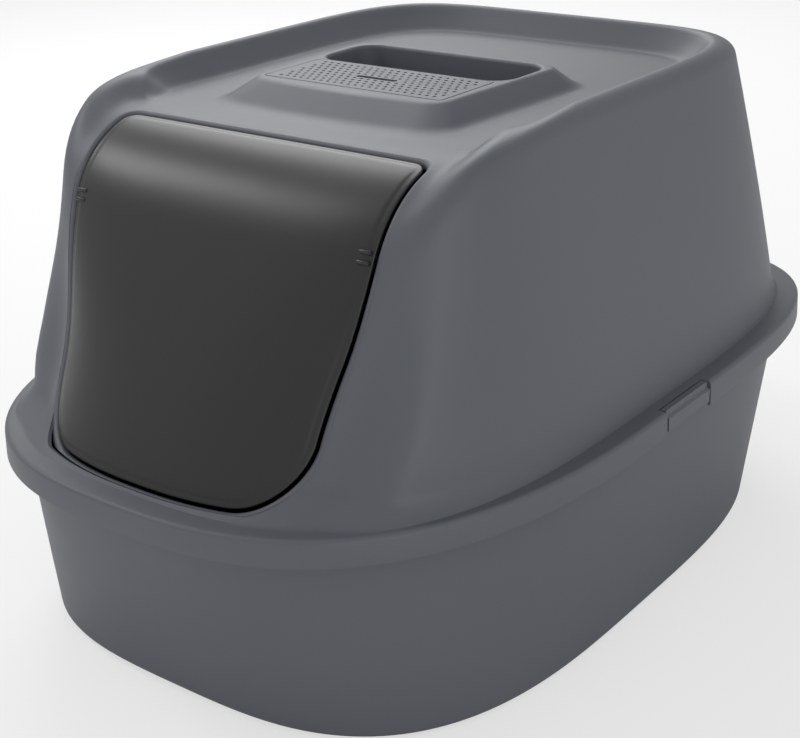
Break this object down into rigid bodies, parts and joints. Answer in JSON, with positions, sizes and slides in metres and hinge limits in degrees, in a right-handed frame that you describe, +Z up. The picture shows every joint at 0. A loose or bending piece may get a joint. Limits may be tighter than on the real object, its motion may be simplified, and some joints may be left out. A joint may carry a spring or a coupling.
{
  "type": "hooded litter box",
  "caption": "Hooded litter box: deep tray, clip-on hood with a curved see-through swing door, side clips, grip recess and a perforated filter cover over an odour pad.",
  "frame": {"origin": "centre of the footprint on the floor", "axes": "+Z up, +X to the right seen from the front, +Y from the entry to the back"},
  "size_m": [0.381, 0.56, 0.32],
  "materials": {
    "graphite_plastic": "satin moulded grey polypropylene",
    "smoked_plastic": "smoked clear styrene, smooth",
    "carbon_felt": "carbon-loaded felt"
  },
  "bodies": {
    "tray": {"tray": "graphite_plastic"},
    "hood": {"hood": "graphite_plastic", "filter_grid": "graphite_plastic"},
    "swing_door": {"swing_door": "smoked_plastic"},
    "clip_left": {"clip_left": "graphite_plastic"},
    "clip_right": {"clip_right": "graphite_plastic"},
    "filter_cover": {"filter_cover": "graphite_plastic", "charcoal_filter": "carbon_felt"}
  },
  "joints": [
    {"name": "hood_lift", "type": "slide", "parent": "tray", "child": "hood", "axis": [0, 0, 1], "range_m": [0, 0.3]},
    {"name": "door_swing", "type": "hinge", "parent": "hood", "child": "swing_door", "pos_m": [0, -0.1715, 0.265], "axis": [1, 0, 0], "range_deg": [-70, 75]},
    {"name": "cover_lift", "type": "slide", "parent": "hood", "child": "filter_cover", "axis": [0, 0, 1], "range_m": [0, 0.08]},
    {"name": "clip_right_swing", "type": "hinge", "parent": "tray", "child": "clip_right", "pos_m": [0.1849, 0.012, 0.1275], "axis": [0, 1, 0], "range_deg": [0, 95]},
    {"name": "clip_left_swing", "type": "hinge", "parent": "tray", "child": "clip_left", "pos_m": [-0.1849, 0.012, 0.1275], "axis": [0, -1, 0], "range_deg": [0, 95]}
  ]
}
